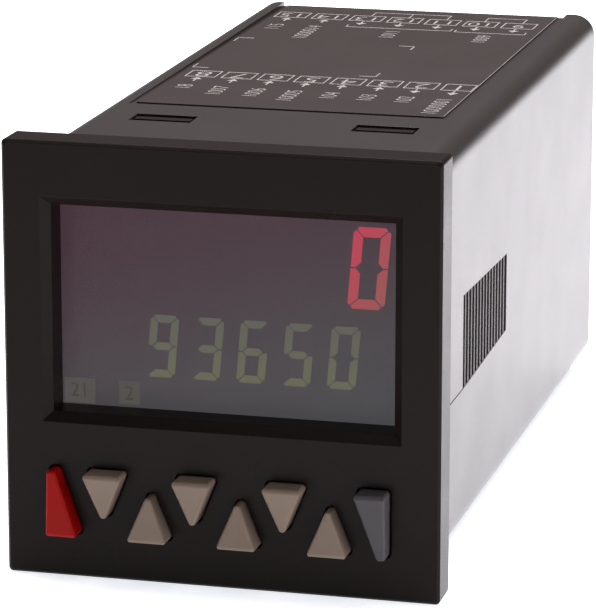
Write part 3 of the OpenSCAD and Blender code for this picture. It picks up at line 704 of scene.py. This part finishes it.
class COUNTER_OT_keys(bpy.types.Operator):
    """Models the eight wedge-shaped keys with rounded corners and edges"""
    bl_idname = "counter.keys"
    bl_label = "Keys"

    def execute(self, context):
        values = settings("keys")
        looks = (
            ("red_key", "Red Key", values.reset_colour, (0.38, 0.48)),
            ("sand_key", "Sand Key", values.digit_colour, (0.4, 0.5)),
            ("grey_key", "Grey Key", values.mode_colour, (0.38, 0.48)),
        )
        finishes = {slot: moulded_plastic(name, rgb, rough=rough, grain=values.grain, gloss=0.1)
                    for slot, name, rgb, rough in looks}
        plastic = moulded_plastic("Switch Plunger", record_colour("plunger_plastic"))
        models = {}
        caps = {}
        for node, plunger, slot, turned in KEYS:
            kind = slot, turned
            if kind in models:
                model = models[kind]
                caps[node] = twin(caps[model], node + "_cap", middle(node) - middle(model))
            else:
                models[kind] = node
                caps[node] = self.model(values, node, plunger, slot, turned)
        for node, plunger, slot, turned in KEYS:
            done(caps[node], finishes[slot], node + "_body")
            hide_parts(node)
            dress(plunger, plastic)
        dress("key_switches", moulded_plastic("Switch Body", record_colour("switch_case")))
        return {"FINISHED"}

    def model(self, values, node, plunger, slot, turned):
        """One key of a kind: a block with round corners, shaped in front and behind."""
        outline = self.outline(values, node, slot == "sand_key", turned)
        piece = self.prism(values, node, outline)
        return self.shape(values, piece, node, plunger, outline)

    def outline(self, values, node, small, turned):
        """Corners of a key anticlockwise, its wide end first; an end key has one upright side."""
        start, end = reversed(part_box(node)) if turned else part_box(node)
        sign = -1 if turned else 1
        foot = start.z + sign * values.collar
        if small:
            tip, half = middle(node).x, sign * values.width / 2
            return [Vector((tip - half, foot)), Vector((tip + half, foot)),
                    Vector((tip, foot + sign * values.height))]
        side, top = start.x + sign * values.collar, end.z - sign * values.collar
        return [Vector((side, foot)), Vector((side + sign * values.end_width, foot)),
                Vector((side + sign * values.end_tip, top)), Vector((side, top))]

    def prism(self, values, node, outline):
        """Block with round corners: the hull of one bar in each corner."""
        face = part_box("front_bezel")[0].y
        front, rear = face - values.proud - values.spare, face + values.wall
        bars = []
        for i, corner in enumerate(outline):
            before = (corner - outline[i - 1]).normalized()
            after = (outline[(i + 1) % len(outline)] - corner).normalized()
            half = (math.pi - before.angle(after)) / 2
            centre = corner + (after - before).normalized() * (values.corner / math.sin(half))
            bars.append(rod(values.corner, front, rear, centre.x, centre.y, sides=48))
        piece = joined(bars, node + "_cap")
        settle()
        edit(piece)
        select_mesh()
        bpy.ops.mesh.convex_hull()
        select_mesh()
        bpy.ops.mesh.dissolve_limited(angle_limit=math.radians(1))
        return piece

    def shape(self, values, piece, node, plunger, outline):
        """Cuts the sloped front, rounds its edge, then adds the collar and the stem."""
        low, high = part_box(node)
        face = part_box("front_bezel")[0].y
        foot = outline[0].y
        sign = 1 if outline[-1].y > foot else -1
        reach = high.z - low.z - 2 * values.collar
        slope = (values.proud - values.tip_proud) / (reach - 2 * values.corner)
        cut((0, face - values.proud, foot + sign * values.corner), (0, -1, sign * slope))
        pick(piece, "FACE", lambda f: f.normal.y < -FACING)
        bpy.ops.mesh.region_to_loop()
        bpy.ops.mesh.bevel(offset=values.edge, segments=5, affect="EDGES")
        self.round_end(values, face - values.proud, foot, sign, slope)
        rear = face + values.wall

        def behind(polygon):
            return polygon.normal.y > FACING and polygon.calc_center_median().y > rear - NEAR

        pick(piece, "FACE", behind)
        wide, tall = high.x - low.x, high.z - low.z
        grown = (wide / (wide - 2 * values.collar), 1, tall / (tall - 2 * values.collar))
        centre = middle(node)
        bpy.ops.mesh.extrude_region_move()
        bpy.ops.transform.resize(value=grown, center_override=(centre.x, rear, centre.z))
        bpy.ops.mesh.extrude_region_move(TRANSFORM_OT_translate={"value": (0, values.collar_t, 0)})
        bpy.ops.object.mode_set(mode="OBJECT")
        switch = middle(plunger)
        stem = rod(values.stem_r, rear + values.collar_t, high.y, switch.x, switch.z, sides=32)
        return joined([piece, stem], piece.name)

    def round_end(self, values, front, foot, sign, slope):
        """Rounds the wide end's front edge: cuts that touch a circle between the sloped front and the end."""
        radius, tilt = values.end_round, math.atan(slope)
        depth = front + slope * (radius - values.corner) + radius / math.cos(tilt)
        centre = Vector((0, depth, foot + sign * radius))
        for i in range(1, END_CUTS):
            angle = (math.pi / 2 + tilt) * i / END_CUTS - tilt
            normal = Vector((0, -math.cos(angle), -sign * math.sin(angle)))
            cut(centre + normal * radius, normal)


class COUNTER_OT_housing(bpy.types.Operator):
    """Rounds the edges of the housing's slots, vents, label field and rear"""
    bl_idname = "counter.housing"
    bl_label = "Housing"

    def execute(self, context):
        values = settings("case")
        low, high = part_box("housing")
        skin = 0.02 * MM
        lip = 1 * MM

        def side(point):
            return abs(point.x) > high.x - skin

        def roof(point):
            return point.z > high.z - skin

        def rear(point):
            return point.y > high.y - skin

        def fine(edge):
            ends = [v.co for v in edge.verts]
            top = all(roof(p) and p.y > lip for p in ends) and not all(rear(p) for p in ends)
            return top or all(side(p) and values.vent_front < p.y < values.vent_rear for p in ends)

        def outside(point):
            return side(point) or roof(point) or rear(point) or point.z < low.z + skin

        def coarse(edge):
            return not fine(edge) and all(v.co.y > lip and outside(v.co) for v in edge.verts)

        piece = soften("housing", "housing_shell", coarse, values.housing_edge)
        pick(piece, "EDGE", lambda e: sharp(e) and fine(e))
        bpy.ops.mesh.bevel(offset=values.fine_edge, segments=2, affect="EDGES", clamp_overlap=True)
        finish = moulded_plastic("Housing Plastic", values.housing_colour, rough=(0.3, 0.33),
                                 grain=values.grain)
        self.matt_ribs(values, finish, high.x - skin)
        done(piece, finish, CASE)
        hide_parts("housing")
        self.side_line(values, finish, low, high)
        return {"FINISHED"}

    def matt_ribs(self, values, finish, half_width):
        """Makes the finish rougher on the sunk ribs between the vents."""
        tree = finish.node_tree
        rough = tree.nodes["Principled BSDF"].inputs["Roughness"]
        ribs = effect(tree, within(), Half_Width=half_width, Front=values.vent_front, Rear=values.vent_rear,
                      Foot=-values.vent_half, Top=values.vent_half)
        before = rough.links[0].from_socket
        total = calculate(tree, "MULTIPLY_ADD", ribs.outputs["Value"], values.rib_matt, before)
        tree.links.new(total, rough)

    def side_line(self, values, finish, low, high):
        """Fine raised line on the right side, half sunk in the wall, from the front to the vents."""
        piece = rod(values.line_r, low.y, values.line_y, high.x, values.line_z, sides=16)
        piece.name = "housing_side_line"
        edit(piece)
        pick(piece, "FACE", lambda f: len(f.verts) > 4)
        bpy.ops.mesh.bevel(offset=values.line_r * LINE_END, segments=3, affect="EDGES")
        done(piece, finish, CASE)


class COUNTER_OT_label(bpy.types.Operator):
    """Finishes the label and prints its number boxes, arrows, brackets and lines"""
    bl_idname = "counter.label"
    bl_label = "Top Label"

    def execute(self, context):
        values = settings("label")
        film = moulded_plastic("Label Film", values.film_colour, rough=(0.3, 0.36), grain=values.grain,
                               depth=0.05, gloss=0.4)
        low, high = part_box("top_label")

        def front_edge(edge):
            return all(v.co.y < low.y + NEAR and v.co.z > high.z - NEAR for v in edge.verts)

        shell = soften("top_label", "label_film", front_edge, values.film_edge, segments=2)
        done(shell, film, CASE)
        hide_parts("top_label")
        self.top = high.z + values.ink_t
        self.left = low.x
        self.front = low.y
        self.made = []
        self.row(values, "front", values.front_count, FRONT_MARKS, FRONT_INWARD)
        self.row(values, "rear", values.front_count + values.rear_count, REAR_MARKS, REAR_INWARD)
        self.frame_ticks(values)
        self.brackets(values)
        self.contacts(values)
        edge = high.x - low.x
        edge_line, edge_start = 0.06 * MM, 0.3 * MM
        self.strip((edge - edge_line, edge), (edge_start, high.y - low.y))
        piece = joined(self.made, "label_print")
        edit(piece)
        select_mesh()
        bpy.ops.mesh.extrude_region_move(TRANSFORM_OT_translate={"value": (0, 0, -values.ink_t)})
        select_mesh()
        bpy.ops.mesh.normals_make_consistent(inside=False)
        bpy.ops.object.mode_set(mode="OBJECT")
        hinge = Vector((0, low.y, high.z))
        turn = Matrix.Rotation(-values.slope, 4, "X")
        piece.matrix_world = Matrix.Translation(hinge) @ turn @ Matrix.Translation(-hinge)
        done(piece, printed_ink("Label Ink", values.ink_colour), CASE)
        return {"FINISHED"}

    def spot(self, x, y):
        """A place on top of the print, from its distances to the label's front left corner."""
        return Vector((self.left + x, self.front + y, self.top))

    def plane(self, x, y):
        """A flat strip between two x and two y places."""
        deselect()
        bpy.ops.mesh.primitive_plane_add(size=1, location=self.spot(sum(x) / 2, sum(y) / 2))
        piece = bpy.context.active_object
        piece.scale = (abs(x[1] - x[0]), abs(y[1] - y[0]), 1)
        settle()
        return piece

    def strip(self, x, y):
        """Prints a flat strip."""
        self.made.append(self.plane(x, y))

    def again(self, models, kind, i, step, make):
        """Prints the first piece of a kind in a row, or a copy of it as many steps further along."""
        if kind in models:
            first, piece = models[kind]
            self.made.append(twin(piece, piece.name, step * (i - first)))
        else:
            models[kind] = i, make()
            self.made.append(models[kind][1])

    def box(self, values, x, y):
        """A frame: a plane, inset by the lines' widths and opened."""
        piece = self.plane(x, y)
        edit(piece)
        select_mesh()
        bpy.ops.mesh.inset(thickness=values.line)
        tall = y[1] - y[0]
        flatter = (tall - 2 * values.cross_line) / (tall - 2 * values.line)
        bpy.ops.transform.resize(value=(1, flatter, 1), center_override=self.spot(sum(x) / 2, sum(y) / 2))
        bpy.ops.mesh.delete(type="FACE")
        bpy.ops.object.mode_set(mode="OBJECT")
        return piece

    def arrow(self, values, x, foot, inward):
        """A small arrow in front of a box, pointing into it or out of it."""
        rear, front, half = foot - 0.3 * MM, foot - 2.65 * MM, 0.105 * MM
        size = values.arrow_r
        tip, tail, sign = (rear, front, 1) if inward else (front, rear, -1)
        deselect()
        bpy.ops.mesh.primitive_circle_add(
            vertices=3, radius=size, fill_type="NGON", rotation=(0, 0, 0 if inward else math.pi),
            location=self.spot(x, tip - sign * size))
        head = bpy.context.active_object
        settle()
        shaft = self.plane((x - half, x + half), (tail, tip - sign * HEAD_LENGTH * size))
        return joined([head, shaft], "arrow")

    def row(self, values, name, highest, marks, inward):
        """A row of number boxes with arrows, and small numbers in front of the first boxes."""
        parts = ("count", "pitch", "box_w", "start", "row", "numeral_h")
        count, pitch, width, start, y, size = (getattr(values, f"{name}_{part}") for part in parts)
        models = {}
        step = Vector((pitch, -values.lean * pitch, 0))
        for i in range(count):
            x = start + i * pitch + width / 2
            foot = y - values.lean * x
            sides = (x - width / 2, x + width / 2), (foot, foot + values.box_h)
            self.again(models, "box", i, step, lambda: self.box(values, *sides))
            spot = self.spot(x, foot + values.box_h / 2)
            text = str(highest - i)
            self.made.append(flat_text("number", text, size, spot, (0, 0, math.pi), thin=size * TEXT_THIN))
            points_in = i < inward
            self.again(models, points_in, i, step, lambda: self.arrow(values, x, foot, points_in))
            if i < len(marks):
                self.mark(values, marks[i], x, foot - values.mark_gap)

    def mark(self, values, text, x, y):
        """A small plain number that reads along the label and ends at y."""
        self.made.append(flat_text("mark", text, values.mark_h, self.spot(x, y), (0, 0, math.pi / 2),
                                   thin=values.mark_h * TEXT_THIN, align="RIGHT"))

    def frame_ticks(self, values):
        """Four corner ticks of a bare field between the rows."""
        left, right, front, rear = 0.1 * MM, 22.65 * MM, 22.35 * MM, 43.4 * MM
        across, along = 2 * MM, 2.5 * MM
        for x, sx in ((left, 1), (right, -1)):
            for row, sy in ((front, 1), (rear, -1)):
                y = row - values.lean * x
                self.strip((x, x + sx * across), (y, y + sy * values.cross_line))
                self.strip((x, x + sx * values.line), (y, y + sy * along))

    def brackets(self, values):
        """Brackets in front of the terminals of the two outputs."""
        leg, gap = 1.6 * MM, 1.4 * MM
        for text, left, right in BRACKETS:
            a, b = left * MM, right * MM
            y = values.bracket_y - values.lean * (a + b) / 2
            self.strip((a, b), (y, y + values.cross_line))
            self.mark(values, text, (a + b) / 2, y - gap)
            for x in (a, b - values.line):
                self.strip((x, x + values.line), (y, y + leg))

    def contacts(self, values):
        """Contact lines of the two outputs behind the rear row."""
        first_middle = values.rear_start + values.rear_box_w / 2
        contact = 2.6 * MM
        for first, last in OUTPUTS:
            places = [first_middle + i * values.rear_pitch for i in range(first, last + 1)]
            start = values.rear_row - values.lean * sum(places) / len(places) + values.box_h
            end = start + contact
            for x in places:
                self.strip((x, x + values.line), (start, end))
            self.strip((places[0], places[-1] + values.line), (end, end + values.cross_line))


class COUNTER_OT_terminals(bpy.types.Operator):
    """Rounds the terminal blocks' edges and plates their clamps and screws"""
    bl_idname = "counter.terminals"
    bl_label = "Terminals"

    def execute(self, context):
        values = settings("parts")
        plastic = moulded_plastic("Terminal Plastic", values.terminal_colour, rough=(0.36, 0.46))
        clamps = plated_metal("Plated Clamp", values.clamp_colour)
        screws = plated_metal("Plated Screw", values.screw_colour)
        for level in ("upper", "lower"):
            node = level + "_terminal_block"
            rim_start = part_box(node)[1].y - 0.7 * MM

            def at_rear(edge):
                return min(v.co.y for v in edge.verts) > rim_start

            piece = soften(node, node + "_shell", at_rear, values.terminal_edge)
            done(piece, plastic, CASE)
            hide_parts(node)
            dress(level + "_terminal_clamps", clamps)
            dress(level + "_terminal_screws", screws)
        return {"FINISHED"}


class COUNTER_OT_electronics(bpy.types.Operator):
    """Finishes the boards and the parts on them"""
    bl_idname = "counter.electronics"
    bl_label = "Electronics"

    def execute(self, context):
        values = settings("parts")
        board = moulded_plastic("Board Lacquer", values.board_colour, rough=(0.25, 0.4), spread=0.3)
        for node in ("display_board", "power_board", "logic_board"):
            dress(node, board)
        plastics = (
            ("Black Moulding", "black_moulding",
             ("board_headers", "regulator", "microcontroller", "input_couplers")),
            ("Relay Cover", "relay_case", ("relay_1", "relay_2")),
            ("Capacitor Sleeve", "capacitor_sleeve", ("supply_capacitor",)),
            ("Ferrite", "ferrite", ("transformer_core",)),
            ("Winding", "winding", ("transformer_bobbin",)),
        )
        for name, slot, nodes in plastics:
            finish = moulded_plastic(name, record_colour(slot), rough=(0.35, 0.5))
            for node in nodes:
                dress(node, finish)
        dress("header_pins", plated_metal("Gilt Contact", record_colour("gilt_contact")))
        dress("clock_crystal", plated_metal("Bright Can", record_colour("bright_can")))
        return {"FINISHED"}


class COUNTER_OT_stage(bpy.types.Operator):
    """Makes the pale floor, the soft lights and the camera"""
    bl_idname = "counter.stage"
    bl_label = "Stage"

    def execute(self, context):
        values = settings("stage")
        self.floor(values)
        self.lights(values)
        self.camera(values)
        return {"FINISHED"}

    def floor(self, values):
        """Pale floor under the counter that gives light of its own."""
        deselect()
        bpy.ops.mesh.primitive_plane_add(size=values.floor_size, location=(0, 0, CAD_BOX[0].z))
        floor = bpy.context.active_object
        floor.name = "floor"
        settle()
        pale = moulded_plastic("Pale Floor", values.floor_colour, rough=(0.7, 0.8), spread=0.02,
                               grain=values.floor_grain)
        shader = pale.node_tree.nodes["Principled BSDF"]
        put(shader, Emission_Color=(*values.glow_colour, 1), Emission_Strength=values.floor_glow)
        floor.data.materials.append(pale)

    def lights(self, values):
        """The soft lights and a dim room; most of the light on the front comes from the floor."""
        for name, place, aim, size, power in LIGHTS:
            bpy.ops.object.light_add(type="AREA", location=place)
            light = bpy.context.active_object
            light.name = name
            light.data.shape = "RECTANGLE"
            light.data.size, light.data.size_y = size
            light.data.energy = power
            light.data.color = values.light_colour
            light.rotation_euler = (Vector(aim) - Vector(place)).to_track_quat("-Z", "Y").to_euler()
        world = bpy.context.scene.world or bpy.data.worlds.new("Room")
        bpy.context.scene.world = world
        world.use_nodes = True
        put(world.node_tree.nodes["Background"], Color=(*values.room_colour, 1))
        bpy.context.scene.view_settings.view_transform = "Standard"

    def camera(self, values):
        """Camera that looks at the aim from the given angles and distance."""
        aim = Vector(values.aim)
        level = math.cos(values.elevation)
        back = Vector((math.sin(values.azimuth) * level, -math.cos(values.azimuth) * level,
                       math.sin(values.elevation)))
        bpy.ops.object.camera_add(location=aim + back * values.distance)
        camera = bpy.context.active_object
        camera.rotation_euler = (-back).to_track_quat("-Z", "Y").to_euler()
        camera.data.sensor_fit = "VERTICAL"
        camera.data.sensor_height = PICTURE_H
        camera.data.lens = values.lens
        camera.data.clip_start = 0.01
        bpy.context.scene.camera = camera


class COUNTER_PT_sidebar(bpy.types.Panel):
    """Lists the counter's pieces and their settings"""
    bl_idname = "COUNTER_PT_sidebar"
    bl_label = "Panel Counter"
    bl_space_type = "VIEW_3D"
    bl_region_type = "UI"
    bl_category = "Counter"

    def draw(self, context):
        for operator in OPERATORS:
            self.layout.operator(operator.bl_idname)
        for name, group in GROUPS.items():
            section = self.layout.box()
            section.label(text=group.__doc__)
            for key in group.__annotations__:
                section.prop(settings(name), key)


GROUPS = {
    "case": CaseSettings,
    "display": DisplaySettings,
    "keys": KeySettings,
    "label": LabelSettings,
    "parts": PartSettings,
    "stage": StageSettings,
}
OPERATORS = (
    COUNTER_OT_bezel,
    COUNTER_OT_display,
    COUNTER_OT_keys,
    COUNTER_OT_housing,
    COUNTER_OT_label,
    COUNTER_OT_terminals,
    COUNTER_OT_electronics,
    COUNTER_OT_stage,
)


def register():
    for name, group in GROUPS.items():
        bpy.utils.register_class(group)
        setattr(bpy.types.Scene, "counter_" + name, PointerProperty(type=group))
    for item in (*OPERATORS, COUNTER_PT_sidebar):
        bpy.utils.register_class(item)


def unregister():
    for item in (COUNTER_PT_sidebar, *reversed(OPERATORS)):
        bpy.utils.unregister_class(item)
    for name, group in reversed(GROUPS.items()):
        delattr(bpy.types.Scene, "counter_" + name)
        bpy.utils.unregister_class(group)


def main():
    register()
    bpy.ops.counter.bezel()
    bpy.ops.counter.display()
    bpy.ops.counter.keys()
    bpy.ops.counter.housing()
    bpy.ops.counter.label()
    bpy.ops.counter.terminals()
    bpy.ops.counter.electronics()
    bpy.ops.counter.stage()


if __name__ == "__main__":
    main()
